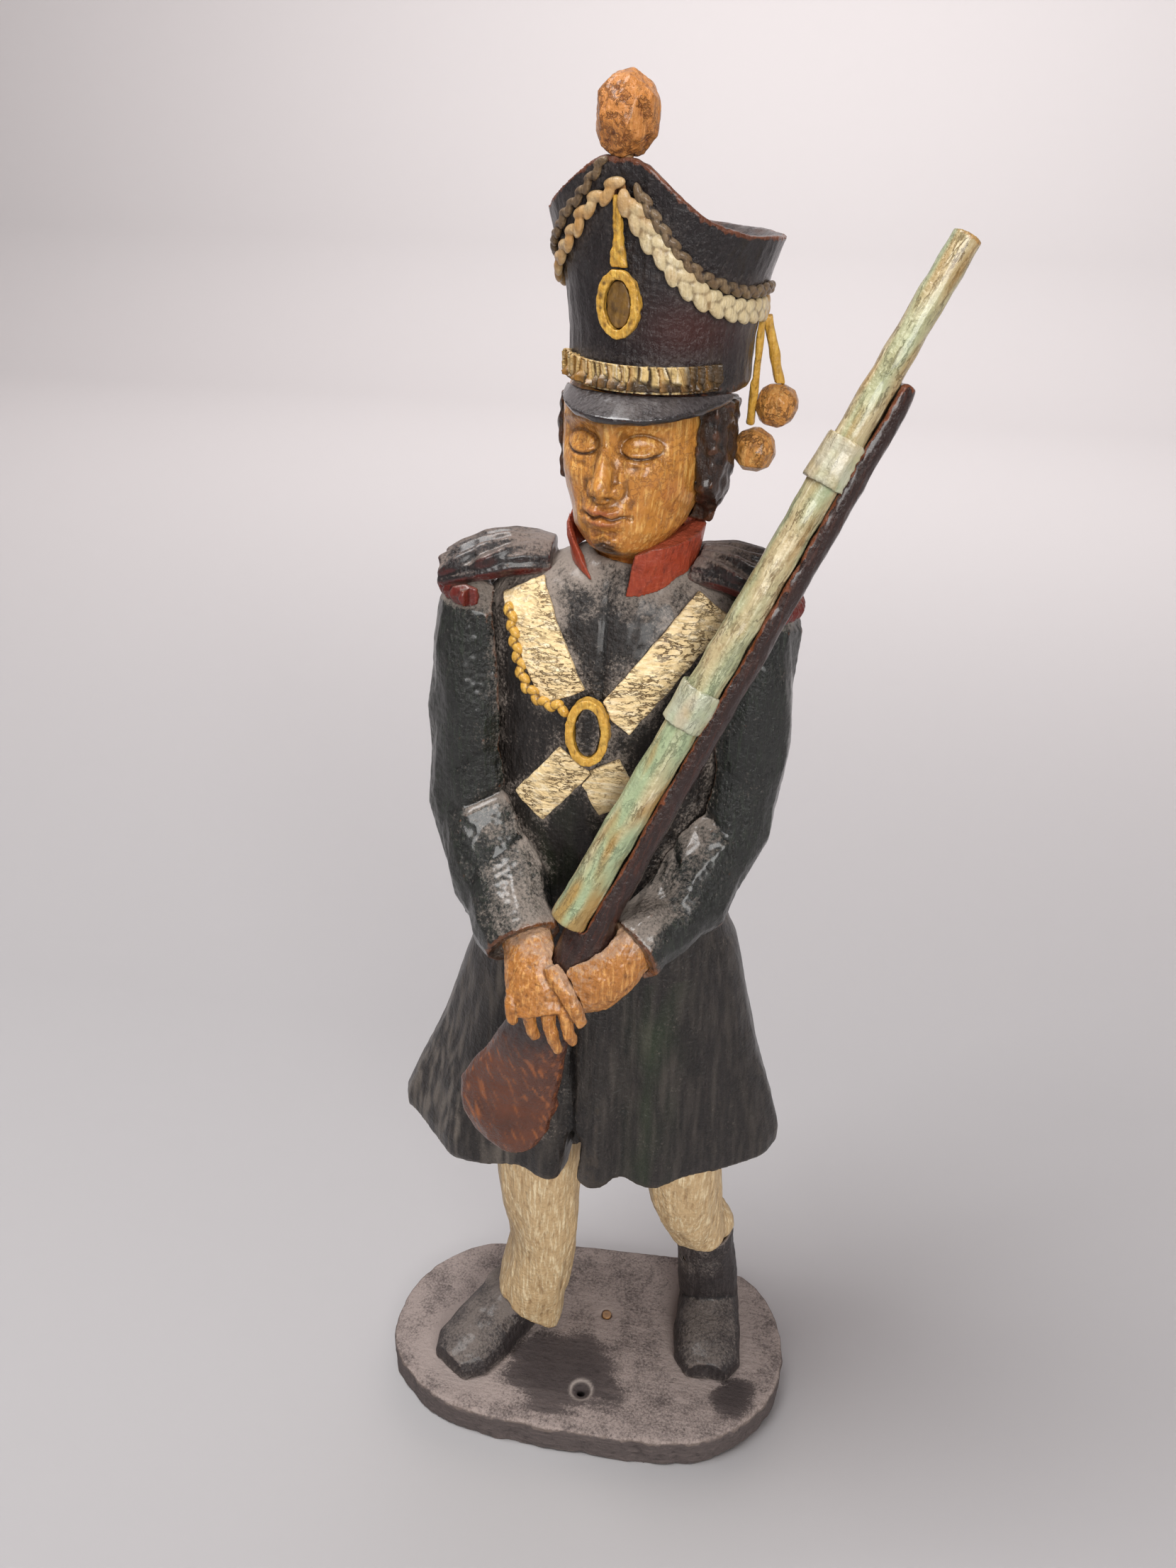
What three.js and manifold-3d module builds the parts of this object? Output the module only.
// A carved and painted wooden soldier that stands on an oval board, about 400 mm tall.
// Millimetres, +Z up. The origin is the centre of the board's underside and the soldier faces -Y,
// so the soldier's right hand is on the -X side.
// Carved blocks are lofts through rings. Each piece is cut by the pieces that it fits against, grown
// by one clearance, so that neighbours stay apart when a size changes.
import * as THREE from "three";
import { mergeVertices } from "three/addons/utils/BufferGeometryUtils.js";
import Module from "manifold-3d";

const wasm = await Module();
wasm.setup();

// ---- Driving dimensions, mm ----
const clearance = 0.3; // gap between two pieces that touch
const dowelFit = 0.1; // radial gap of a peg, dowel or screw in its hole

const boardLength = 140;
const boardDepth = 79;
const boardThickness = 11;
const boardChamfer = 0.8;
const fixingHoleRadius = 1.6;
const fixingSinkRadius = 3.6;
const fixingSinkDepth = 1.2;
const plugRadius = 1.7;

const legHeight = 100; // board top to coat hem
const skirtHeight = 92; // hem to waist
const torsoHeight = 97; // waist to the root of the neck
const faceHeight = 37; // chin to brim
const chinLift = 6; // root of the neck to chin
const shakoHeight = 32; // brim to the sides of the crown
const shakoPeak = 13; // how far the front of the crown stands above its sides
const headTurn = -14; // degrees about +Z

const hemHalfWidth = 61;
const hemHalfDepth = 33;
const waistHalfWidth = 32.5;
const waistHalfDepth = 21;
const chestHalfWidth = 34.5;
const chestHalfDepth = 23.5;
const skirtTurn = 3; // degrees about +Z
const socketDepth = 26; // how far a leg plugs into the coat

const bootLength = 42;
const bootHalfWidth = 13.2;
const legHalfWidth = 12;
const sleeveHalfWidth = 12.5;

const collarWall = 1.8;
const collarHeight = 13;
const rightBeltWidth = 12.4;
const leftBeltWidth = 10.6;
const beltThickness = 1.3;
const plateHalfWidth = 5.6;
const plateHalfHeight = 9;
const plateRimWidth = 2.2;

const headHalfWidth = 17.5;
const headHalfDepth = 20.5;
const hairThickness = 3.6;
const hairShift = 1.8; // the hair stands fuller on the left
const bandHalfWidth = 21; // the shako at its head band
const bandHalfDepth = 23;
const crownHalfWidth = 26.5; // the shako at its rim
const crownHalfDepth = 28;
const rimWall = 2.2;
const crownDish = 4; // depth of the dished top
const visorReach = 7;
const visorThickness = 2.2;
const scaleBandHeight = 5.6;
const cockadeHalfWidth = 5;
const cockadeHalfHeight = 6.9;
const cockadeRimWidth = 1.9;
const loopLength = 13.4;
const braidRadius = 2.2;
const strandRadius = 1.3; // the dark strand above the braid
const tasselRadius = 4.9;
const pompomRadius = 6.7;
const pompomHalfHeight = 7.8;
const pegRadius = 1.5;

const barrelLength = 179;
const breechRadius = 4.9;
const muzzleRadius = 3.4;
const stockHalfWidth = 4.4;
const buttHalfWidth = 15;
const buttHalfDepth = 5;
const bandWall = 0.9;
const musketPinRadius = 1.5;
const screwRadius = 1.75;
const screwHeadRadius = 3.5;
const armDowelRadius = 3;

// ---- Heights above the board, mm ----
const hemZ = legHeight;
const waistZ = hemZ + skirtHeight;
const neckZ = waistZ + torsoHeight;

// ---- Solids ----
const at = (x, y, z) => new THREE.Vector3(x, y, z);
const radians = THREE.MathUtils.degToRad;

function solidOf(geometry) {
  const bare = geometry.clone();
  bare.deleteAttribute("normal");
  bare.deleteAttribute("uv");
  const merged = mergeVertices(bare, 1e-4);
  return new wasm.Manifold(
    new wasm.Mesh({
      numProp: 3,
      vertProperties: merged.attributes.position.array,
      triVerts: new Uint32Array(merged.index.array),
    }),
  );
}

function geometryOf(solid) {
  const mesh = solid.getMesh();
  return new THREE.BufferGeometry()
    .setAttribute("position", new THREE.BufferAttribute(new Float32Array(mesh.vertProperties), 3))
    .setIndex(new THREE.BufferAttribute(new Uint32Array(mesh.triVerts), 1));
}

const placed = (solid, matrix) => solidOf(geometryOf(solid).applyMatrix4(matrix));
const cut = (solid, ...tools) => tools.reduce((left, tool) => left.subtract(tool), solid);
const join = (first, ...others) => others.reduce((sum, other) => sum.add(other), first);

// A closed skin through rings of equally many points, with a fan over each end.
function skin(rings) {
  const count = rings[0].length;
  const points = rings.flat();
  const faces = [];
  for (let row = 0; row + 1 < rings.length; row++)
    for (let i = 0; i < count; i++) {
      const a = row * count + i;
      const b = row * count + ((i + 1) % count);
      faces.push([a, b, b + count], [a, b + count, a + count]);
    }
  const ends = [
    [rings[0], 0, true],
    [rings.at(-1), (rings.length - 1) * count, false],
  ];
  for (const [ring, start, turned] of ends) {
    const centre = points.length;
    points.push(ring.reduce((sum, p) => sum.add(p), at(0, 0, 0)).divideScalar(count));
    for (let i = 0; i < count; i++) {
      const edge = [start + i, start + ((i + 1) % count)];
      faces.push(turned ? [centre, edge[1], edge[0]] : [centre, ...edge]);
    }
  }
  const volume = faces.reduce(
    (sum, [a, b, c]) => sum + points[a].dot(at(0, 0, 0).crossVectors(points[b], points[c])),
    0,
  );
  const outward = volume < 0 ? faces.map((face) => face.reverse()) : faces;
  return solidOf(new THREE.BufferGeometry().setFromPoints(points).setIndex(outward.flat()));
}

const signedPower = (value, power) => Math.sign(value) * Math.abs(value) ** power;

// A level ring: a superellipse about (x, y, z). lift and swell vary its height and size with the
// angle, which runs from 0 at the front (-Y) towards +X.
function level(form, count, grow = 0) {
  const { x = 0, y = 0, z, wide, deep, power = 2, turn = 0, lift = () => 0, swell = () => 1 } = form;
  const ring = [];
  for (let i = 0; i < count; i++) {
    const angle = (2 * Math.PI * i) / count;
    const across = signedPower(Math.sin(angle), 2 / power) * (wide + grow) * swell(angle);
    const ahead = -signedPower(Math.cos(angle), 2 / power) * (deep + grow) * swell(angle);
    ring.push(
      at(across, ahead, 0)
        .applyAxisAngle(at(0, 0, 1), radians(turn))
        .add(at(x, y, z + lift(angle))),
    );
  }
  return ring;
}

const stack = (levels, count, grow = 0) => skin(levels.map((one) => level(one, count, grow)));

// A limb: ellipses square to a smooth path. A station is [x, y, z, half width, half depth], where
// the half depth is measured towards the front.
function limb(stations, count, steps, grow = 0) {
  const path = new THREE.CatmullRomCurve3(stations.map(([x, y, z]) => at(x, y, z)));
  const last = stations.length - 1;
  const rings = [];
  for (let step = 0; step <= steps; step++) {
    const share = (step / steps) * last;
    const index = Math.min(Math.floor(share), last - 1);
    const [wide, deep] = [3, 4].map((k) =>
      THREE.MathUtils.lerp(stations[index][k], stations[index + 1][k], share - index),
    );
    const along = path.getTangent(share / last);
    const side = at(0, 0, 0).crossVectors(along, at(0, -1, 0)).normalize();
    const ahead = at(0, 0, 0).crossVectors(side, along).normalize();
    const centre = path.getPoint(share / last);
    if (step === 0) centre.addScaledVector(along, -grow);
    if (step === steps) centre.addScaledVector(along, grow);
    const ring = [];
    for (let i = 0; i < count; i++) {
      const angle = (2 * Math.PI * i) / count;
      ring.push(
        centre
          .clone()
          .addScaledVector(side, (wide + grow) * Math.cos(angle))
          .addScaledVector(ahead, (deep + grow) * Math.sin(angle)),
      );
    }
    rings.push(ring);
  }
  return skin(rings);
}

// A round bar between two points.
function bar(from, to, radius, sides = 16) {
  const shape = new THREE.CylinderGeometry(radius, radius, from.distanceTo(to), sides);
  const turn = new THREE.Quaternion().setFromUnitVectors(at(0, 1, 0), to.clone().sub(from).normalize());
  shape.applyQuaternion(turn);
  const middle = from.clone().lerp(to, 0.5);
  return solidOf(shape.translate(middle.x, middle.y, middle.z));
}

// A round cord along a curve.
function cordAlong(path, radius, steps) {
  const section = new THREE.Shape().absarc(0, 0, radius, 0, 2 * Math.PI);
  const options = { extrudePath: path, steps, curveSegments: 4, bevelEnabled: false };
  return solidOf(new THREE.ExtrudeGeometry(section, options));
}

const ball = (centre, wide, high, detail = 1) =>
  solidOf(
    new THREE.IcosahedronGeometry(1, detail).scale(wide, wide, high).translate(centre.x, centre.y, centre.z),
  );

const block = (wide, deep, high, x, y, z) =>
  solidOf(new THREE.BoxGeometry(wide, deep, high).translate(x, y, z));

// A prism along Y whose outline is an ellipse in X and Z.
const ovalPrism = (halfWide, halfHigh, x, z, depth, y) =>
  solidOf(
    new THREE.CylinderGeometry(1, 1, depth, 28).scale(halfWide, 1, halfHigh).translate(x, y, z),
  );

// ---- Materials: paint on carved wood ----
const paint = (color, roughness) => new THREE.MeshStandardMaterial({ color, roughness, metalness: 0 });
const finishes = {
  coat: paint(0x22282a, 0.5),
  black: paint(0x26272a, 0.45),
  board: paint(0x3a3a3b, 0.7),
  flesh: paint(0xd08a38, 0.5),
  hair: paint(0x2a1d16, 0.6),
  cream: paint(0xcdb98b, 0.6),
  belt: paint(0xd9bd7c, 0.6),
  red: paint(0xa63a26, 0.5),
  maroon: paint(0x4a1a17, 0.5),
  gold: paint(0xb08a2e, 0.45),
  braid: paint(0xc9c196, 0.55),
  strand: paint(0x4a3a26, 0.55),
  orange: paint(0xbb6a2a, 0.5),
  barrel: paint(0xb7b790, 0.5),
  stock: paint(0x4a2a1c, 0.5),
  wood: paint(0xb98a5a, 0.8),
  steel: new THREE.MeshStandardMaterial({ color: 0x8a8a8a, roughness: 0.4, metalness: 0.9 }),
};

const soldier = new THREE.Group(); // the finished object
const figure = new THREE.Group(); // all that stands on the board
figure.position.z = boardThickness;
const headGroup = new THREE.Group(); // the head and all that it wears
headGroup.position.set(5, -1, neckZ);
headGroup.rotation.z = radians(headTurn);
soldier.add(figure);
figure.add(headGroup);
headGroup.updateMatrix();

// A cut can leave a loose sliver beside the piece, which is dropped.
function piece(name, solid, finish, group = figure) {
  const [body] = solid.decompose().sort((a, b) => b.volume() - a.volume());
  const mesh = new THREE.Mesh(geometryOf(body), finish);
  mesh.name = name;
  group.add(mesh);
}

// ---- Boots and foot screws ----
// A boot is a loft from heel to toe of half-round sections, turned to where the foot points.
function boot({ heel, toeOut, shaftTop, lean }, grow = 0) {
  const profile = [
    // share of the length, half width share, height
    [0, 0.55, 10],
    [0.1, 0.8, 15],
    [0.34, 0.86, 16.5],
    [0.6, 0.93, 13.5],
    [0.85, 0.9, 10.5],
    [1, 0.55, 8],
  ];
  const sections = profile.map(([share, widthShare, high]) => {
    const ring = [];
    const half = bootHalfWidth * widthShare + grow;
    for (let i = 0; i < 14; i++) {
      const angle = (Math.PI * i) / 13;
      const rise = Math.abs(Math.sin(angle)) ** 0.7;
      const bottom = clearance - grow;
      ring.push(at(-half * Math.cos(angle), -share * bootLength, bottom + (high + 2 * grow) * rise));
    }
    return ring;
  });
  const shaft = limb(
    [
      [0, -11, 6, bootHalfWidth - 2.4, 9.6],
      [lean * 0.4, -11, shaftTop * 0.5, bootHalfWidth - 2.4, 9.8],
      [lean, -12, shaftTop, bootHalfWidth - 3.2, 10],
    ],
    14,
    3,
    grow,
  );
  const foot = new THREE.Matrix4().makeTranslation(heel.x, heel.y, 0);
  foot.multiply(new THREE.Matrix4().makeRotationZ(radians(toeOut)));
  return placed(join(skin(sections), shaft), foot);
}

const feet = {
  right: { heel: at(-25, 12, 0), toeOut: -30, shaftTop: 15, lean: 1 },
  left: { heel: at(41, 30, 0), toeOut: 3, shaftTop: 43, lean: -4.2 },
};

// Where the screw under each foot stands, level with the middle of the boot.
function screwSpot({ heel, toeOut }) {
  return at(0, -bootLength * 0.4, 0).applyAxisAngle(at(0, 0, 1), radians(toeOut)).add(heel);
}

// A countersunk wood screw that points up, its head flush with the board's underside.
function screw(spot, grow = 0) {
  const reach = boardThickness + 10;
  const outline = [
    [0, -grow],
    [screwHeadRadius + grow, -grow],
    [screwHeadRadius + grow, 0.4],
    [screwRadius + grow, 2.6],
    [screwRadius + grow, reach - 3],
    [0, reach + grow],
  ].map(([r, z]) => new THREE.Vector2(r, z + clearance));
  const shape = new THREE.LatheGeometry([...outline, outline[0]], 20).rotateX(Math.PI / 2);
  return solidOf(shape.translate(spot.x, spot.y, -boardThickness));
}

// ---- Legs ----
// Each leg narrows to the ankle and runs up into a socket in the coat.
const legTop = hemZ + socketDepth;
const legStations = {
  right: [
    [-23, 3, 4, legHalfWidth, 10],
    [-21.5, 2, 20, legHalfWidth + 0.4, 11],
    [-17.5, 0, hemZ * 0.45, legHalfWidth - 0.3, 11],
    [-19, -3, hemZ * 0.85, legHalfWidth + 2.5, 13],
    [-17.5, -5, legTop, legHalfWidth + 1.5, 13],
  ],
  left: [
    [37.5, 18, 28, legHalfWidth - 4.5, 7.5],
    [37, 17.5, 40, legHalfWidth - 4, 8],
    [36.5, 17, 44.5, legHalfWidth - 0.9, 11],
    [33, 12, 55, legHalfWidth - 1, 11],
    [29.5, 5, hemZ * 0.75, legHalfWidth + 0.5, 12],
    [27, 2, legTop, legHalfWidth + 0.5, 12],
  ],
};
// The right trouser leg ends in a slope that is lowest beside the ankle.
const trouserHem = { middle: at(-23, 0, 11), slope: 40 };
function leg(side, grow = 0) {
  const whole = limb(legStations[side], 16, 14, grow);
  if (side === "left") return whole;
  const below = new THREE.BoxGeometry(90, 90, 40).translate(0, 0, -20 - grow);
  below.rotateY(radians(trouserHem.slope)).translate(...trouserHem.middle);
  return cut(whole, solidOf(below));
}

// ---- Coat: skirt and body carved from one block ----
const pleats = (depth) => (angle) => {
  const fromFrontRight = Math.atan2(Math.sin(angle), Math.cos(angle)) + radians(52);
  const flat = 0.09 * Math.exp(-((fromFrontRight / radians(28)) ** 2));
  return 1 - flat + depth * (Math.cos(9 * angle + 0.6) + 0.5 * Math.cos(5 * angle - 0.8));
};
const hemLift = (angle) => 1.5 * Math.sin(angle) + 1.2 * Math.cos(4 * angle);
const lerp = THREE.MathUtils.lerp;
const skirtMix = (share) => ({
  z: lerp(hemZ, waistZ, share),
  wide: lerp(hemHalfWidth, waistHalfWidth, share * 0.95),
  deep: lerp(hemHalfDepth, waistHalfDepth, share),
});
const hem = { x: -5, y: 5.5, power: 2.1, turn: skirtTurn, lift: hemLift };
const coatLevels = [
  { ...hem, ...skirtMix(0), swell: pleats(0.016) },
  { ...hem, ...skirtMix(0), z: hemZ + 6, swell: pleats(0.02) },
  { ...skirtMix(0.42), x: -2, y: 4, power: 2.3, turn: skirtTurn * 0.6, swell: pleats(0.012) },
  { ...skirtMix(0.82), x: 0.5, y: 2, power: 2.3, turn: skirtTurn * 0.2 },
  { x: 0, y: 1, z: waistZ, wide: waistHalfWidth, deep: waistHalfDepth, power: 2.3 },
  ...[
    // share of the torso's height, x, width and depth below the chest's, power
    [0.26, 0, chestHalfWidth - waistHalfWidth - 0.4, 2, 2.2],
    [0.58, 0.5, 0.6, 0, 2.1],
    [0.76, 1, 0, 1, 2.1],
    [0.88, 1, -0.5, 4, 2.1],
    [0.95, 2, 3.5, 7.5, 2],
  ].map(([share, x, narrower, shallower, power]) => ({
    x,
    z: lerp(waistZ, neckZ, share),
    wide: chestHalfWidth - narrower,
    deep: chestHalfDepth - shallower,
    power,
  })),
  { x: 4, y: 0, z: neckZ, wide: 20, deep: 13.5, power: 2 },
  { x: 4.5, y: 0, z: neckZ + 3, wide: 13.5, deep: 12, power: 2 },
];
const coatBlock = (grow = 0) => stack(coatLevels, 32, grow);

// y of the coat's front (side -1) or back (side 1) at x and z, on the smooth form between levels.
function coatY(x, z, side) {
  const above = Math.max(1, coatLevels.findIndex((one) => one.z >= z));
  const [low, high] = [coatLevels[above - 1], coatLevels[above]];
  const mix = (key) => lerp(low[key] ?? 0, high[key] ?? 0, (z - low.z) / (high.z - low.z));
  const across = Math.min(1, Math.abs(x - mix("x")) / mix("wide"));
  return mix("y") + side * mix("deep") * (1 - across ** mix("power")) ** (1 / mix("power"));
}

// The skirt's front opening: a tall wedge that shows the right leg behind it.
function skirtSlit() {
  const outline = new THREE.Shape([
    new THREE.Vector2(-9.5, hemZ - 6),
    new THREE.Vector2(-2.8, hemZ - 6),
    new THREE.Vector2(-0.6, hemZ + 30),
  ]);
  const wedge = new THREE.ExtrudeGeometry(outline, { depth: 26, bevelEnabled: false });
  return solidOf(wedge.rotateX(Math.PI / 2).translate(0, -12, 0));
}

// ---- Sleeves ----
const elbowZ = lerp(waistZ, neckZ, 0.3);
const shoulderZ = lerp(waistZ, neckZ, 0.92);
const shoulderX = chestHalfWidth + 1.8;
const cuffs = { right: at(-16.5, -36, waistZ + 1), left: at(12.5, -39, waistZ + 5) };
const sleeveStations = {
  right: [
    [-shoulderX + 3, 0, shoulderZ, 7.5, 9],
    [-shoulderX + 1, -2, shoulderZ - 7, sleeveHalfWidth - 1.5, 12.5],
    [-shoulderX + 0.2, -5, lerp(elbowZ, shoulderZ, 0.45), sleeveHalfWidth, 13.5],
    [-shoulderX + 1, -8, elbowZ, sleeveHalfWidth + 0.3, 13],
    [lerp(-shoulderX, cuffs.right.x, 0.5), -21, lerp(elbowZ, waistZ, 0.6), sleeveHalfWidth, 11],
    [cuffs.right.x, cuffs.right.y, cuffs.right.z, sleeveHalfWidth - 1.4, 9.5],
  ],
  left: [
    [shoulderX - 0.5, 0, shoulderZ, 7.5, 9],
    [shoulderX, -2, shoulderZ - 7, sleeveHalfWidth - 1.5, 12],
    [shoulderX - 0.6, -4, lerp(elbowZ, shoulderZ, 0.45), sleeveHalfWidth - 0.3, 13],
    [shoulderX - 3, -8, elbowZ, sleeveHalfWidth - 0.3, 12.5],
    [lerp(shoulderX, cuffs.left.x, 0.5), -23, lerp(elbowZ, waistZ, 0.6), sleeveHalfWidth - 1.5, 10.5],
    [cuffs.left.x, cuffs.left.y, cuffs.left.z, sleeveHalfWidth - 2.5, 8.5],
  ],
};
const sleeve = (side, grow = 0) => limb(sleeveStations[side], 16, 10, grow);

// A dowel between the coat and the top of each sleeve.
function armDowel(side, grow = 0) {
  const outward = side === "right" ? -1 : 1;
  const middle = outward * (chestHalfWidth - 3);
  const z = lerp(elbowZ, shoulderZ, 0.72);
  const half = 9 + grow;
  return bar(at(middle - half, 0, z), at(middle + half, 0, z), armDowelRadius + grow, 12);
}

// ---- Musket ----
// The barrel runs from the hands past the left shoulder. The stock lies behind it, runs on through
// the hands, and widens into the butt, which lies on the skirt.
const breech = at(-3.5, -42, waistZ + 14);
const bore = at(75.5, 30, 159).normalize();
const beside = at(5, 2.6, -2.4); // from the barrel's axis to the stock's
const onBarrel = (share) => breech.clone().addScaledVector(bore, barrelLength * share);
const barrelRadius = (share) => lerp(breechRadius, muzzleRadius, share);

const barrelStations = [0, 0.25, 0.5, 0.75, 1].map((share) => [
  ...onBarrel(share),
  barrelRadius(share),
  barrelRadius(share),
]);
const barrel = (grow = 0) => limb(barrelStations, 14, 4, grow);

const besideBarrel = (share) => onBarrel(share).addScaledVector(beside, 1.05 - 0.3 * share);
const stockStations = [
  [...besideBarrel(0.83), stockHalfWidth - 1.2, stockHalfWidth - 1.4],
  [...besideBarrel(0.8), stockHalfWidth - 0.4, stockHalfWidth - 0.4],
  [...besideBarrel(0.55), stockHalfWidth, stockHalfWidth],
  [...besideBarrel(0.28), stockHalfWidth + 0.3, stockHalfWidth],
  [...besideBarrel(0.02), stockHalfWidth + 1.6, stockHalfWidth + 0.6],
  [-2, -39.5, waistZ - 4, stockHalfWidth + 3.5, buttHalfDepth],
  [-12, -36, lerp(hemZ, waistZ, 0.72), buttHalfWidth - 6, buttHalfDepth],
  [-17.5, -32, lerp(hemZ, waistZ, 0.53), buttHalfWidth - 3, buttHalfDepth],
  [-22, -30, lerp(hemZ, waistZ, 0.4), buttHalfWidth, buttHalfDepth],
  [-22.3, -30, lerp(hemZ, waistZ, 0.32), buttHalfWidth - 0.8, buttHalfDepth],
  [-20, -30, lerp(hemZ, waistZ, 0.225), buttHalfWidth - 4.5, buttHalfDepth - 0.4],
  [-18.5, -30, lerp(hemZ, waistZ, 0.175), buttHalfWidth - 9.5, buttHalfDepth - 1.4],
];
const stock = (grow = 0) => limb(stockStations, 14, 22, grow);

// A ring around the barrel, over a stretch of it.
function musketBand([from, to], grow = 0) {
  const around = (share) => {
    const radius = barrelRadius(share) + bandWall + clearance;
    return [...onBarrel(share), radius, radius];
  };
  return limb([around(from), around(to)], 18, 1, grow);
}
const middleBandStretch = [0.33, 0.39];
const upperBandStretch = [0.683, 0.745];

const musketPinSpot = at(-19, 0, lerp(hemZ, waistZ, 0.45));
function musketPin(grow = 0) {
  const front = coatY(musketPinSpot.x, musketPinSpot.z, -1);
  const near = musketPinSpot.clone().setY(front - 5 - grow);
  const far = musketPinSpot.clone().setY(front + 9 + grow);
  return bar(near, far, musketPinRadius + grow, 12);
}

// ---- Hands ----
// A palm with four fingers and a thumb. The right hand lies over the stock; the left holds it
// from behind, so only its back and wrist are carved.
function rightHand(grow = 0) {
  const wrist = cuffs.right;
  const palm = limb(
    [
      [wrist.x + 0.5, wrist.y + 1, wrist.z + 3, 7, 4.5],
      [wrist.x + 4, wrist.y - 6, wrist.z - 4, 8, 4.5],
      [wrist.x + 6.5, wrist.y - 10, wrist.z - 14, 8.8, 4],
    ],
    16,
    6,
    grow,
  );
  const fingers = [
    // knuckle x, z below the wrist, then tip x, z, both from the wrist
    [-1.2, -12, 0, -17.5, 1.7],
    [3.2, -12.5, 5.8, -21.5, 1.9],
    [8, -12.5, 11.8, -25, 2],
    [12.6, -11.5, 16, -22, 1.9],
  ].map(([x, z, tipX, tipZ, radius]) =>
    limb(
      [
        [wrist.x + x, wrist.y - 9, wrist.z + z + 4, radius, radius],
        [wrist.x + lerp(x, tipX, 0.5), wrist.y - 12, wrist.z + lerp(z, tipZ, 0.45), radius, radius],
        [wrist.x + tipX, wrist.y - 10.5, wrist.z + tipZ, radius * 0.75, radius * 0.75],
      ],
      8,
      3,
      grow,
    ),
  );
  const thumb = limb(
    [
      [wrist.x + 9, wrist.y - 7, wrist.z - 1, 3, 2.8],
      [wrist.x + 14, wrist.y - 11, wrist.z - 6, 2.4, 2.4],
      [wrist.x + 18.5, wrist.y - 11.5, wrist.z - 15, 1.7, 1.7],
    ],
    8,
    3,
    grow,
  );
  return join(palm, ...fingers, thumb);
}

function leftHand(grow = 0) {
  const wrist = cuffs.left;
  return limb(
    [
      [wrist.x + 1.5, wrist.y + 2, wrist.z + 2, 7, 5],
      [wrist.x - 4, wrist.y - 1, wrist.z - 3, 8.8, 5.6],
      [wrist.x - 10, wrist.y - 3, wrist.z - 9, 9.2, 5.6],
      [wrist.x - 15, wrist.y - 3, wrist.z - 14, 6.5, 4.5],
    ],
    16,
    8,
    grow,
  );
}

// ---- Collar ----
// An upright band round the neck, open in a V at the throat and split at the back.
const collarBase = neckZ - 2;
function collarForm(grow = 0) {
  const low = { x: 4.5, y: -1, wide: 15.5, deep: 15, lift: (angle) => -5 * Math.cos(angle) };
  const high = { x: 4.8, y: -2.2, wide: 18, deep: 17.5, lift: (angle) => -3.5 * Math.cos(angle) };
  const [lowZ, highZ] = [collarBase - grow, collarBase + collarHeight + grow];
  return stack([{ ...low, z: lowZ }, { ...high, z: highZ }], 24, grow);
}
function collarHalf(side) {
  const outward = side === "right" ? -1 : 1;
  const throat = new THREE.Shape([
    new THREE.Vector2(-2, collarBase - 12),
    new THREE.Vector2(3, collarBase - 12),
    new THREE.Vector2(5.1, collarBase),
    new THREE.Vector2(6.5, collarBase + collarHeight * 0.62),
    new THREE.Vector2(20, collarBase + collarHeight),
    new THREE.Vector2(24, collarBase + collarHeight + 15),
    new THREE.Vector2(-19, collarBase + collarHeight + 15),
    new THREE.Vector2(-12.5, collarBase + collarHeight),
    new THREE.Vector2(-3.7, collarBase),
  ]);
  const wedge = new THREE.ExtrudeGeometry(throat, { depth: 40, bevelEnabled: false });
  const opening = solidOf(wedge.rotateX(Math.PI / 2));
  const half = block(60, 80, 80, 4.5 + outward * (30 + clearance / 2), 0, neckZ);
  return cut(collarForm().intersect(half), collarForm(-collarWall), opening);
}

// ---- Shoulder straps ----
function epaulette(side, grow = 0) {
  const outward = side === "right" ? -1 : 1;
  const z = neckZ + 5;
  return limb(
    [
      [1 + outward * 17, -0.5, z - 4.5, 4, 8],
      [1 + outward * 25, -1, z - 4, 4.6, 11],
      [1 + outward * 36, -1.5, z - 6.2, 4.8, 13],
      [1 + outward * 44.5, -1.5, z - 9.5, 3, 10.5],
    ],
    14,
    5,
    grow,
  );
}
function shoulderRoll(side, grow = 0) {
  const outward = side === "right" ? -1 : 1;
  const stations = [-1, -0.5, 0, 0.5, 1].map((share) => [
    1 + outward * (44.5 - 9 * share ** 2),
    share * 13.5 - 1.5,
    neckZ - 8.5,
    2.8,
    2.8,
  ]);
  const path = new THREE.CatmullRomCurve3(stations.map(([x, y, z]) => at(x, y, z)));
  return cordAlong(path, 2.6 + grow, 7);
}

// ---- Belts, belt plate and cord on the chest ----
// A belt is the coat's own skin, grown by the belt's thickness, kept inside a straight band.
const beltRuns = {
  fromRight: { through: at(-9.4, 0, neckZ - 29), run: at(0.46, 0, -0.888), width: rightBeltWidth },
  fromLeft: { through: at(5, 0, neckZ - 33), run: at(-0.62, 0, -0.785), width: leftBeltWidth },
  backFromRight: { through: at(-10.7, 0, neckZ - 30), run: at(0.47, 0, -0.883), width: rightBeltWidth },
  backFromLeft: { through: at(12.7, 0, neckZ - 30), run: at(-0.47, 0, -0.883), width: leftBeltWidth },
};
const crossing = at(-2.3, 0, neckZ - 37.5);
function beltPart(runName, from, to, side) {
  const { through, run, width } = beltRuns[runName];
  const middle = through.clone().addScaledVector(run, (from + to) / 2);
  const tilt = Math.atan2(run.x, run.z);
  const band = new THREE.BoxGeometry(width, 80, to - from).rotateY(tilt);
  const region = solidOf(band.translate(middle.x, side * 40.2, middle.z));
  return cut(coatBlock(clearance + beltThickness).intersect(region), coatBlock(clearance));
}
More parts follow.
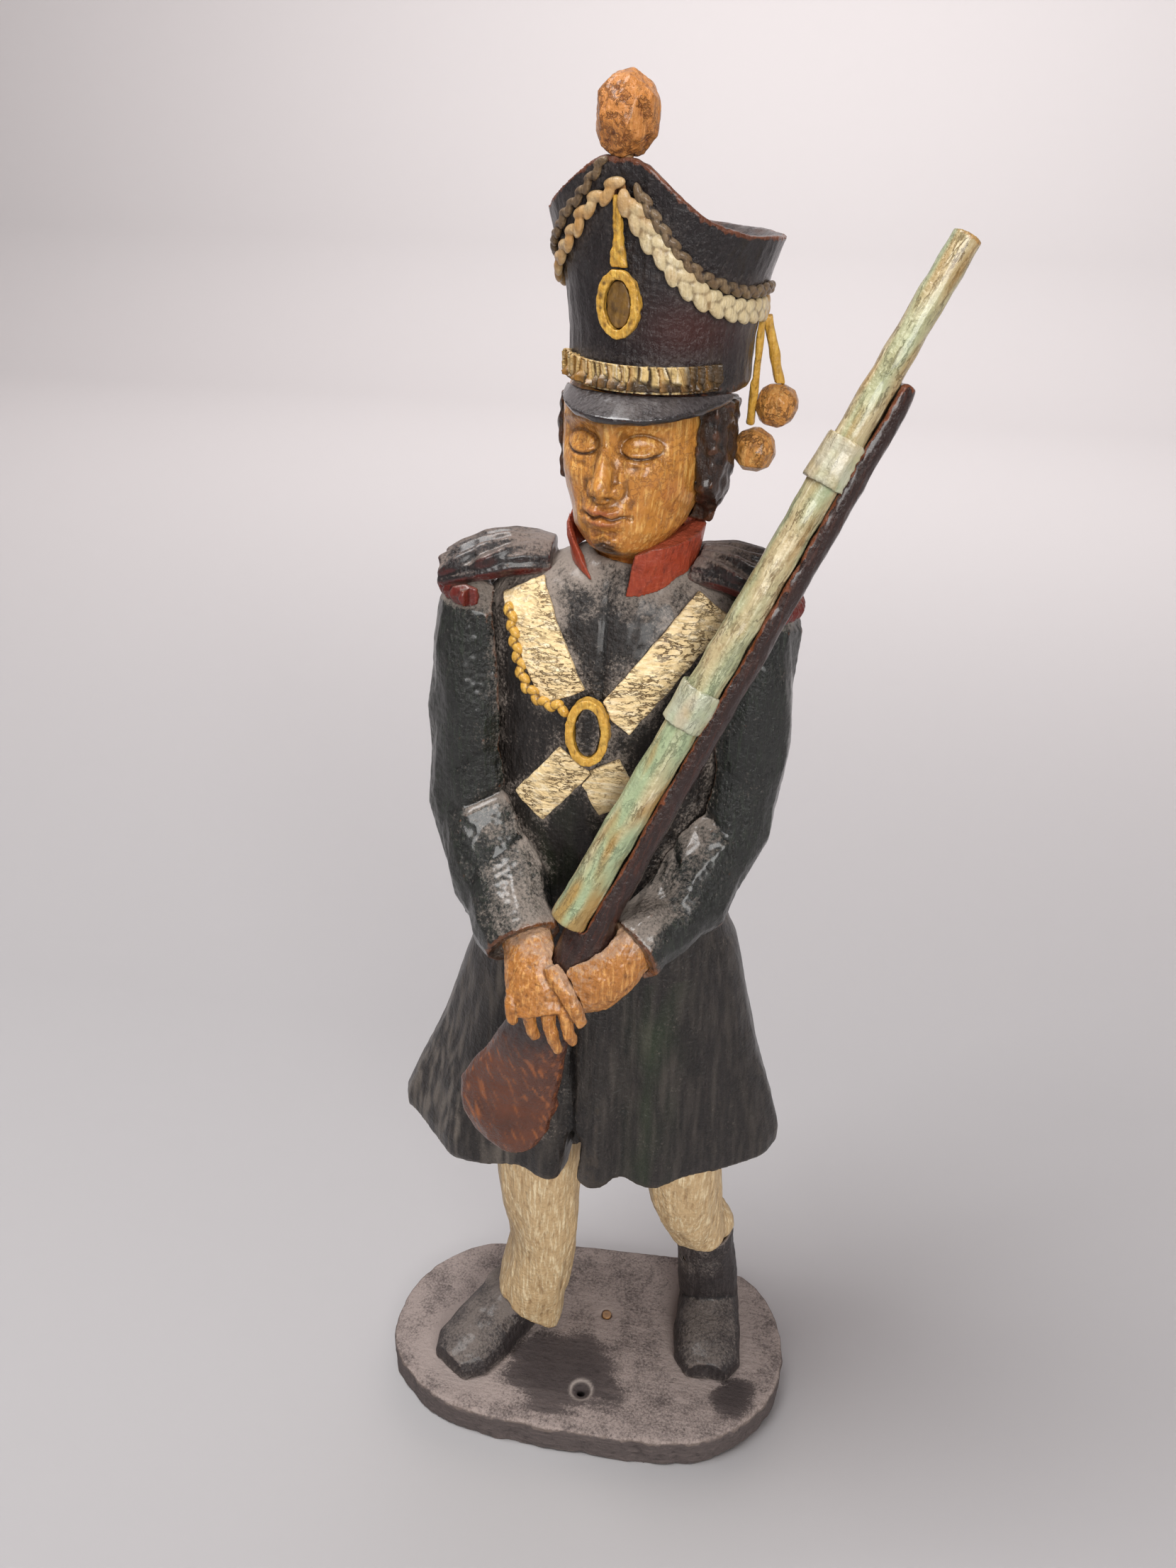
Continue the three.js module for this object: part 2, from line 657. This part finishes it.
// The space that a belt on the front takes up, with its clearance.
function beltRegion(runName, from, to) {
  const { through, run, width } = beltRuns[runName];
  const middle = through.clone().addScaledVector(run, (from + to) / 2);
  const band = new THREE.BoxGeometry(width + 2 * clearance, 80, to - from + 2 * clearance);
  const region = solidOf(band.rotateY(Math.atan2(run.x, run.z)).translate(middle.x, -40.2, middle.z));
  return coatBlock(2 * clearance + beltThickness).intersect(region);
}
const beltPlateY = coatY(crossing.x, crossing.z, -1);
function beltPlateForm(grow = 0) {
  const [halfWide, halfHigh] = [plateHalfWidth + grow, plateHalfHeight + grow];
  return ovalPrism(halfWide, halfHigh, crossing.x, crossing.z, 5 + 2 * grow, beltPlateY - 2.5);
}

const cordOnChest = [
  [-23.8, neckZ - 10],
  [-22.4, neckZ - 18],
  [-20.4, neckZ - 26],
  [-16.6, neckZ - 31],
  [-11.5, neckZ - 32.5],
  [-8, neckZ - 31.5],
];
const chestCord = (grow = 0) =>
  limb(
    cordOnChest.map(([x, z]) => [x, coatY(x, z, -1) - beltThickness - 0.7, z, 1.5, 1.5]),
    10,
    10,
    grow,
  );

// ---- Cartridge pouch on the right hip, at the end of the belt that crosses the back ----
const pouchDrop = 101; // along the belt
function pouch(grow = 0) {
  const { through, run } = beltRuns.backFromLeft;
  const { x, z } = through.clone().addScaledVector(run, pouchDrop);
  const body = new THREE.BoxGeometry(27 + 2 * grow, 13 + 2 * grow, 19 + 2 * grow);
  return solidOf(body.rotateZ(radians(-38)).translate(x, coatY(x, z, 1) + 4, z));
}

// ---- Head and hair, in the head's own frame ----
const brimZ = chinLift + faceHeight;
const headLevels = [
  { y: 2, z: -12, wide: 9.5, deep: 9.5 },
  { y: 1, z: 3, wide: 10.5, deep: 11 },
  { y: -6, z: chinLift + 1, wide: 9.5, deep: 13 },
  { y: -5.5, z: chinLift + 6, wide: headHalfWidth - 4, deep: headHalfDepth - 4 },
  { y: -2.5, z: chinLift + 14, wide: headHalfWidth - 1, deep: headHalfDepth - 0.5 },
  { y: -2, z: chinLift + 24, wide: headHalfWidth, deep: headHalfDepth },
  { y: -1.5, z: brimZ - 3, wide: headHalfWidth, deep: headHalfDepth },
  { y: -1, z: brimZ + 6, wide: headHalfWidth - 4, deep: headHalfDepth - 4 },
];
function head(grow = 0) {
  const nose = limb(
    [
      [0, -headHalfDepth - 1, chinLift + 25, 1.5, 1.5],
      [0, -headHalfDepth - 3.5, chinLift + 17, 2.4, 2.4],
      [0, -headHalfDepth - 1.5, chinLift + 14, 2.6, 2],
    ],
    10,
    5,
    grow,
  );
  return join(stack(headLevels, 22, grow), nose);
}

function hair() {
  const outer = stack(
    headLevels.slice(3, -1).map((one) => ({
      ...one,
      x: hairShift,
      y: one.y + 1.5,
      z: Math.min(one.z, brimZ - clearance),
    })),
    22,
    hairThickness,
  );
  const slope = new THREE.Shape([
    new THREE.Vector2(-60, -10),
    new THREE.Vector2(4, -10),
    new THREE.Vector2(1, chinLift + 9),
    new THREE.Vector2(-8, chinLift + 15),
    new THREE.Vector2(-9, brimZ + 10),
    new THREE.Vector2(-60, brimZ + 10),
  ]);
  const face = new THREE.ExtrudeGeometry(slope, { depth: 80, bevelEnabled: false });
  face.rotateX(Math.PI / 2).rotateZ(Math.PI / 2).translate(-40, 0, 0);
  return cut(outer, stack(headLevels, 22, clearance), solidOf(face));
}

// The space that the hair takes up, without the face's opening.
function hairForm(grow) {
  return stack(
    headLevels.slice(3, -1).map((one) => ({ ...one, x: hairShift, y: one.y + 1.5 })),
    22,
    hairThickness + grow,
  );
}

// ---- Shako, in the head's own frame ----
const shakoX = 4.2;
const flare = (share) => share ** 1.5; // how the crown widens from its waist to its rim
const crownWaist = brimZ + 12;
const rimLift = (angle) => {
  const fromFront = Math.atan2(Math.sin(angle), Math.cos(angle));
  const spread = radians(fromFront < 0 ? 42 : 31);
  return shakoPeak * Math.exp(-((fromFront / spread) ** 2)) + 1.8 * (1 - Math.sin(angle));
};
function crownLevel(share) {
  const rise = brimZ + shakoHeight - crownWaist;
  return {
    x: shakoX,
    z: crownWaist + share * rise,
    wide: lerp(bandHalfWidth, crownHalfWidth, flare(share)),
    deep: lerp(bandHalfDepth, crownHalfDepth, flare(share)),
    lift: (angle) => share * rimLift(angle),
  };
}
function crown(grow = 0) {
  const rim = crownLevel(1);
  const levels = [
    { x: shakoX, z: brimZ, wide: bandHalfWidth - 0.8, deep: bandHalfDepth - 0.8 },
    { x: shakoX, z: brimZ + 1.5, wide: bandHalfWidth, deep: bandHalfDepth },
    ...[0, 0.3, 0.6, 0.85, 1].map(crownLevel),
  ];
  if (grow === 0)
    levels.push(
      { ...rim, wide: rim.wide - rimWall, deep: rim.deep - rimWall },
      {
        ...rim,
        z: rim.z - crownDish,
        wide: rim.wide * 0.6,
        deep: rim.deep * 0.6,
        lift: (angle) => 0.3 * rimLift(angle),
      },
    );
  return stack(levels, 30, grow);
}

// A point on the crown's wall at an angle from the front and a share of its height.
function onCrown(angle, share, out = 0) {
  const { x, z, wide, deep, lift } = crownLevel(share);
  return at(x + (wide + out) * Math.sin(angle), -(deep + out) * Math.cos(angle), z + lift(angle));
}

// Part of the crown's wall, grown by a thickness and kept inside a region.
const crownPatch = (thickness, region) =>
  cut(crown(clearance + thickness).intersect(region), crown(clearance));

const cockadeX = shakoX - 1.2;
const cockadeZ = brimZ + 18.6;
const cockadeRegion = (grow) =>
  ovalPrism(cockadeHalfWidth + grow, cockadeHalfHeight + grow, cockadeX, cockadeZ, 40, -crownHalfDepth);
const loopZ = cockadeZ + cockadeHalfHeight + clearance + loopLength / 2;
const loopRegion = (grow = 0) =>
  block(2.4 + 2 * grow, 40, loopLength + 2 * grow, cockadeX, -crownHalfDepth, loopZ);

// The braid's height on the crown, as a share, against the angle from the front towards the left.
const braidDrape = [
  [-104, 0.36],
  [-66, 0.46],
  [-40, 0.6],
  [-14, 0.78],
  [-5, 0.9],
  [5, 0.74],
  [22, 0.5],
  [42, 0.37],
  [70, 0.25],
  [104, 0.28],
  [180, 0.32],
  [256, 0.36],
];
function braidShare(degrees) {
  const next = Math.max(1, braidDrape.findIndex(([angle]) => angle >= degrees));
  const [[a, low], [b, high]] = [braidDrape[next - 1], braidDrape[next]];
  return lerp(low, high, (degrees - a) / (b - a));
}
function rope([fromDegrees, toDegrees], radius, above) {
  const steps = 8;
  const stations = [];
  for (let i = 0; i <= steps; i++) {
    const degrees = lerp(fromDegrees, toDegrees, i / steps);
    stations.push(onCrown(radians(degrees), braidShare(degrees) + above(i / steps), 0.3));
  }
  return cordAlong(new THREE.CatmullRomCurve3(stations), radius, 12);
}
const braid = (run, grow = 0) => rope(run, braidRadius + grow, () => 0);
const strand = (run, grow = 0) => rope(run, strandRadius + grow, (share) => 0.1 + 0.12 * share ** 0.5);

// The visor: a dished tongue that starts under the crown's front edge and dips as it reaches out.
function visor(grow = 0) {
  const dip = (depth) => (angle) => -depth * Math.max(0, Math.cos(angle)) ** 1.2;
  const outer = { x: shakoX, y: -2, lift: dip(3.8) };
  const [wide, deep] = [bandHalfWidth - 0.2, bandHalfDepth + visorReach - 2];
  const inner = { x: shakoX, wide: bandHalfWidth + 0.2, deep: bandHalfDepth + 0.8, lift: dip(0.2) };
  const top = brimZ + 0.6;
  return stack(
    [
      { ...outer, z: top - visorThickness - grow, wide: wide - 1, deep: deep - 1 },
      { ...outer, z: top - visorThickness * 0.4, wide, deep },
      { ...inner, z: top + grow },
    ],
    30,
    grow,
  );
}
const frontOfHead = (backY) => block(100, 60, 60, 0, backY - 30, brimZ);

// ---- Tassels on the left of the shako ----
const knot = onCrown(radians(108), braidShare(108) - 0.12, 1.6);
const tassels = {
  upper: at(headHalfWidth + 12, 11.5, brimZ - 4.5),
  lower: at(headHalfWidth + 8.3, 8, brimZ - 14.6),
};
const tassel = (which, grow = 0) => ball(tassels[which], tasselRadius + grow, tasselRadius + grow);
function cordDrop(which, startOffset, grow = 0) {
  const start = knot.clone().add(startOffset);
  const end = tassels[which].clone().add(at(0.4, 0.6, tasselRadius * 0.6));
  if (which === "lower") end.add(at(-2.6, 2.2, 2.5));
  return bar(start, end, 1.2 + grow, 10);
}

// ---- Pompom and its peg ----
const peakTop = onCrown(0, 1);
const pompomCentre = at(shakoX - 0.5, -crownHalfDepth + 3.2, peakTop.z + pompomHalfHeight - 1.4);
const pompomForm = (grow = 0) => ball(pompomCentre, pompomRadius + grow, pompomHalfHeight + grow, 2);
const peg = (grow = 0) =>
  bar(
    at(pompomCentre.x, pompomCentre.y, peakTop.z - 9 - grow),
    at(pompomCentre.x, pompomCentre.y, pompomCentre.z + grow),
    pegRadius + grow,
    12,
  );

// ======== Assembly ========

// Board, hand cut, with one open fixing hole, one plugged hole and two screw holes under the feet.
// The outline's points are shares of the board's half length and half depth.
const boardEdge = [
  [-1, -0.3],
  [-0.99, 0.12],
  [-0.89, 0.5],
  [-0.68, 0.8],
  [-0.35, 0.92],
  [0.1, 0.98],
  [0.5, 1],
  [0.78, 0.88],
  [0.94, 0.55],
  [1, 0.15],
  [0.96, -0.3],
  [0.82, -0.66],
  [0.58, -0.92],
  [0.2, -1],
  [-0.4, -0.99],
  [-0.7, -0.88],
  [-0.91, -0.62],
];
function boardRing(z, inset) {
  const corners = boardEdge.map(([across, ahead]) =>
    at(across * (boardLength / 2 - inset), ahead * (boardDepth / 2 - inset), z),
  );
  return new THREE.CatmullRomCurve3(corners, true).getPoints(44).slice(0, -1);
}
const boardBlank = skin([
  boardRing(0, 0),
  boardRing(boardThickness - boardChamfer, 0),
  boardRing(boardThickness, boardChamfer),
]);
const fixingSpot = at(1, -boardDepth / 2 + 16, 0);
const plugSpot = at(5, 8.5, 0);
const fixingHole = join(
  bar(fixingSpot.clone().setZ(-1), fixingSpot.clone().setZ(boardThickness + 1), fixingHoleRadius, 16),
  bar(
    fixingSpot.clone().setZ(boardThickness - fixingSinkDepth),
    fixingSpot.clone().setZ(boardThickness + 1),
    fixingSinkRadius,
    20,
  ),
);
const plug = (grow) =>
  bar(plugSpot.clone().setZ(-grow), plugSpot.clone().setZ(boardThickness + grow), plugRadius + grow, 16);
const onBoard = new THREE.Matrix4().makeTranslation(0, 0, boardThickness);
const screwHoles = Object.values(feet).map((foot) => {
  const low = screwSpot(foot).setZ(-boardThickness - 1);
  const high = screwSpot(foot).setZ(-boardThickness + 0.5);
  const headSeat = bar(low, high, screwHeadRadius + dowelFit, 20);
  return placed(join(screw(screwSpot(foot), dowelFit), headSeat), onBoard);
});
piece("base_board", cut(boardBlank, fixingHole, plug(dowelFit), ...screwHoles), finishes.board, soldier);
piece("base_plug", plug(0), finishes.wood, soldier);

for (const side of ["right", "left"]) {
  const spot = screwSpot(feet[side]);
  piece("foot_screw_" + side, screw(spot), finishes.steel);
  piece("boot_" + side, cut(boot(feet[side]), leg(side, clearance), screw(spot, dowelFit)), finishes.black);
}
for (const side of ["right", "left"]) piece("leg_" + side, leg(side), finishes.cream);

// Coat, with sockets for the legs and the neck, and holes for the dowels and the musket's pin.
const headInCoat = placed(head(clearance), headGroup.matrix);
piece(
  "coat",
  cut(
    coatBlock(),
    leg("right", clearance),
    leg("left", clearance),
    skirtSlit(),
    headInCoat,
    armDowel("right", dowelFit),
    armDowel("left", dowelFit),
    musketPin(dowelFit),
  ),
  finishes.coat,
);

piece("collar_right", cut(collarHalf("right"), coatBlock(clearance), headInCoat), finishes.red);
piece("collar_left", cut(collarHalf("left"), coatBlock(clearance), headInCoat), finishes.red);

// Musket
piece("musket_barrel", barrel(), finishes.barrel);
piece(
  "musket_stock",
  cut(stock(), barrel(clearance), coatBlock(clearance), musketPin(dowelFit)),
  finishes.stock,
);
for (const [name, stretch] of [
  ["musket_band_middle", middleBandStretch],
  ["musket_band_upper", upperBandStretch],
])
  piece(name, cut(musketBand(stretch), barrel(clearance), stock(clearance)), finishes.barrel);
piece("musket_pin", musketPin(), finishes.steel);

const musketCut = [barrel(clearance), stock(clearance), musketBand(middleBandStretch, clearance)];

// Sleeves and hands
const handForms = { right: rightHand, left: leftHand };
for (const side of ["right", "left"]) {
  const arm = cut(
    sleeve(side),
    coatBlock(clearance),
    handForms[side](clearance),
    armDowel(side, dowelFit),
    ...musketCut,
  );
  piece("sleeve_" + side, arm, finishes.coat);
  piece("arm_dowel_" + side, armDowel(side), finishes.wood);
}
piece("hand_right", cut(rightHand(), ...musketCut, coatBlock(clearance)), finishes.flesh);
piece("hand_left", cut(leftHand(), ...musketCut, coatBlock(clearance), rightHand(clearance)), finishes.flesh);

// Shoulder straps, each with a roll under its end, and a bead on the left one
for (const side of ["right", "left"]) {
  const body = [coatBlock(clearance), sleeve(side, clearance), ...musketCut];
  const roll = cut(shoulderRoll(side), epaulette(side, clearance), ...body);
  piece("epaulette_" + side, cut(epaulette(side), collarForm(clearance), ...body), finishes.black);
  piece("shoulder_roll_" + side, roll, finishes.maroon);
}

// Belts, front and back, and the plate that covers their crossing
const beltCuts = [
  collarForm(clearance),
  epaulette("right", clearance),
  epaulette("left", clearance),
  sleeve("right", clearance),
  sleeve("left", clearance),
  shoulderRoll("right", clearance),
  shoulderRoll("left", clearance),
  beltPlateForm(clearance),
  ...musketCut,
];
const frontBelts = {
  belt_front_right_upper: ["fromRight", -27, 1],
  belt_front_left_upper: ["fromLeft", -34, 2],
  belt_front_right_lower: ["fromLeft", 17, 38],
  belt_front_left_lower: ["fromRight", 21, 34],
};
const beltsOnFront = [];
for (const [name, [run, from, to]] of Object.entries(frontBelts)) {
  piece(name, cut(beltPart(run, from, to, -1), ...beltCuts, ...beltsOnFront), finishes.belt);
  beltsOnFront.push(beltRegion(run, from, to));
}
const backCrossing = at(1, 40.2, neckZ - 52);
const crossingBlock = block(24, 80, 25, backCrossing.x, backCrossing.y, backCrossing.z);
const backOver = beltPart("backFromLeft", -34, 95, 1);
const backUnder = cut(beltPart("backFromRight", -34, 84, 1), crossingBlock);
const [underLower, underUpper] = cut(backUnder, ...beltCuts)
  .decompose()
  .sort((a, b) => b.volume() - a.volume());
piece("belt_back_left", cut(backOver, ...beltCuts, pouch(clearance)), finishes.belt);
piece("belt_back_right_lower", underLower, finishes.belt);
piece("belt_back_right_upper", underUpper, finishes.belt);

const plateBody = cut(beltPlateForm(), coatBlock(clearance));
const insideRim = (gap) => {
  const [halfWide, halfHigh] = [plateHalfWidth - plateRimWidth - gap, plateHalfHeight - plateRimWidth - gap];
  return ovalPrism(halfWide, halfHigh, crossing.x, crossing.z, 40, beltPlateY);
};
const plateFront = block(40, 20, 40, crossing.x, beltPlateY - 2.6 - 10, crossing.z);
const plateFrontHigh = block(40, 20, 40, crossing.x, beltPlateY - 3.6 - 10, crossing.z);
piece("belt_plate_rim", cut(plateBody, insideRim(0), plateFrontHigh), finishes.gold);
piece("belt_plate", cut(plateBody.intersect(insideRim(clearance)), plateFront), finishes.black);

const cordCut = cut(
  chestCord(),
  coatBlock(clearance),
  sleeve("right", clearance),
  epaulette("right", clearance),
  beltPlateForm(clearance),
  ...beltsOnFront,
);
piece("chest_cord", cordCut, finishes.gold);
piece("cartridge_pouch", cut(pouch(), coatBlock(clearance)), finishes.black);

// Head, hair and shako
const shakoSeat = head(clearance);
const visorBody = cut(visor(), head(clearance), crown(clearance)).intersect(frontOfHead(-7));
const visorCut = visor(clearance).intersect(frontOfHead(-7 + clearance));
const tasselCuts = [tassel("upper", clearance), tassel("lower", clearance)];
piece("head", head(), finishes.flesh, headGroup);
const collarInHead = placed(collarForm(clearance), headGroup.matrix.clone().invert());
const coatInHead = placed(coatBlock(clearance), headGroup.matrix.clone().invert());
piece("hair", cut(hair(), visorCut, collarInHead, coatInHead), finishes.hair, headGroup);
const crownBody = cut(crown(), shakoSeat, peg(dowelFit), pompomForm(clearance));
piece("shako_crown", crownBody, finishes.black, headGroup);
piece("shako_visor", visorBody, finishes.black, headGroup);
piece(
  "shako_scale_band",
  cut(crownPatch(1.2, block(100, 60, scaleBandHeight, 0, -43, brimZ + 2.3 + scaleBandHeight / 2)), visorCut),
  finishes.gold,
  headGroup,
);
const cockade = crownPatch(1.2, cockadeRegion(-cockadeRimWidth - clearance));
piece("shako_cockade", cockade, finishes.orange, headGroup);
piece(
  "shako_cockade_rim",
  cut(crownPatch(2, cockadeRegion(0)), cockadeRegion(-cockadeRimWidth)),
  finishes.gold,
  headGroup,
);
const braidCuts = [crown(clearance), cockadeRegion(clearance), loopRegion(clearance), pompomForm(clearance)];
piece("shako_cockade_loop", crownPatch(1.4, loopRegion()), finishes.gold, headGroup);
const braidRuns = {
  shako_braid_left: [2, 104],
  shako_braid_right: [-2, -104],
  shako_braid_back: [106, 254],
};
for (const [name, run] of Object.entries(braidRuns))
  piece(name, cut(braid(run), ...braidCuts), finishes.braid, headGroup);
const braidTools = Object.values(braidRuns).map((run) => braid(run, clearance));
const strandRuns = { shako_strand_left: [6, 104], shako_strand_right: [-8, -104] };
for (const [name, run] of Object.entries(strandRuns))
  piece(name, cut(strand(run), ...braidCuts, ...braidTools), finishes.strand, headGroup);

const drops = {
  tassel_cord_front: ["lower", at(-0.5, -2.6, 0)],
  tassel_cord_rear: ["upper", at(0, 1.6, 0)],
};
const underDrops = [crown(clearance), head(clearance), hairForm(clearance), ...tasselCuts, ...braidTools];
for (const [name, [which, offset]] of Object.entries(drops))
  piece(name, cut(cordDrop(which, offset), ...underDrops), finishes.orange, headGroup);
for (const which of ["upper", "lower"]) {
  const carved = cut(tassel(which), hairForm(clearance), crown(clearance));
  piece("tassel_ball_" + which, carved, finishes.flesh, headGroup);
}

piece("pompom", cut(pompomForm(), peg(dowelFit)), finishes.orange, headGroup);
piece("pompom_peg", peg(), finishes.wood, headGroup);

export default soldier;
